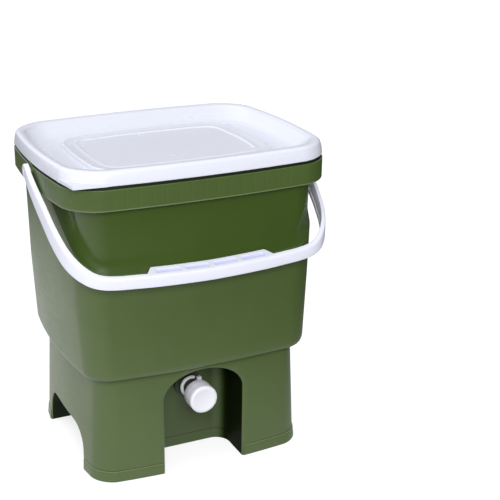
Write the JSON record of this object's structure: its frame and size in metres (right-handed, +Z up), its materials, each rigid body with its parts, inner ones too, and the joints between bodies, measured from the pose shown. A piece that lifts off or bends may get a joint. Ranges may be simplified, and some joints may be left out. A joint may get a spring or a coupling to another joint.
{
  "type": "bokashi bin",
  "caption": "Kitchen composting bin: olive tub in a flared stand, white tray lid, swinging bail handle with a slotted grip, inner strainer plate and a turning drain tap in a niche.",
  "frame": {"origin": "middle of the bin's box on the floor under the stand", "axes": "+Z up, -Y is the front with the tap and the resting handle, +X is to the right seen from the front"},
  "size_m": [0.3362, 0.2664, 0.3738],
  "materials": {
    "tub_plastic": "satin",
    "stand_plastic": "satin",
    "lid_plastic": "gloss",
    "handle_plastic": "gloss",
    "strainer_plastic": "satin",
    "tap_valve_plastic": "satin",
    "tap_white_plastic": "gloss",
    "seal_rubber": "matte"
  },
  "bodies": {
    "bin": {"bucket": "tub_plastic", "base_stand": "stand_plastic", "tap_body": "tap_valve_plastic", "tap_washer_outer": "seal_rubber", "tap_washer_inner": "seal_rubber", "tap_nut": "tap_white_plastic", "tap_split_ring": "tap_white_plastic", "tap_gland_seal": "seal_rubber"},
    "lid": {"lid": "lid_plastic", "lid_seal": "seal_rubber"},
    "handle": {"handle": "handle_plastic"},
    "strainer": {"strainer_grate": "strainer_plastic"},
    "tap_knob": {"tap_knob": "tap_white_plastic"}
  },
  "joints": [
    {"name": "handle_swing", "type": "hinge", "parent": "bin", "child": "handle", "pos_m": [0, 0.0042, 0.3485], "axis": [-1, 0, 0], "range_deg": [0, 248]},
    {"name": "lid_lift", "type": "slide", "parent": "bin", "child": "lid", "axis": [0, 0, 1], "range_m": [0, 0.16]},
    {"name": "strainer_lift", "type": "slide", "parent": "bin", "child": "strainer", "axis": [0, 0, 1], "range_m": [0, 0.18]},
    {"name": "tap_turn", "type": "hinge", "parent": "bin", "child": "tap_knob", "pos_m": [0, -0.08, 0.0846], "axis": [0, 1, 0], "range_deg": [0, 90]}
  ]
}
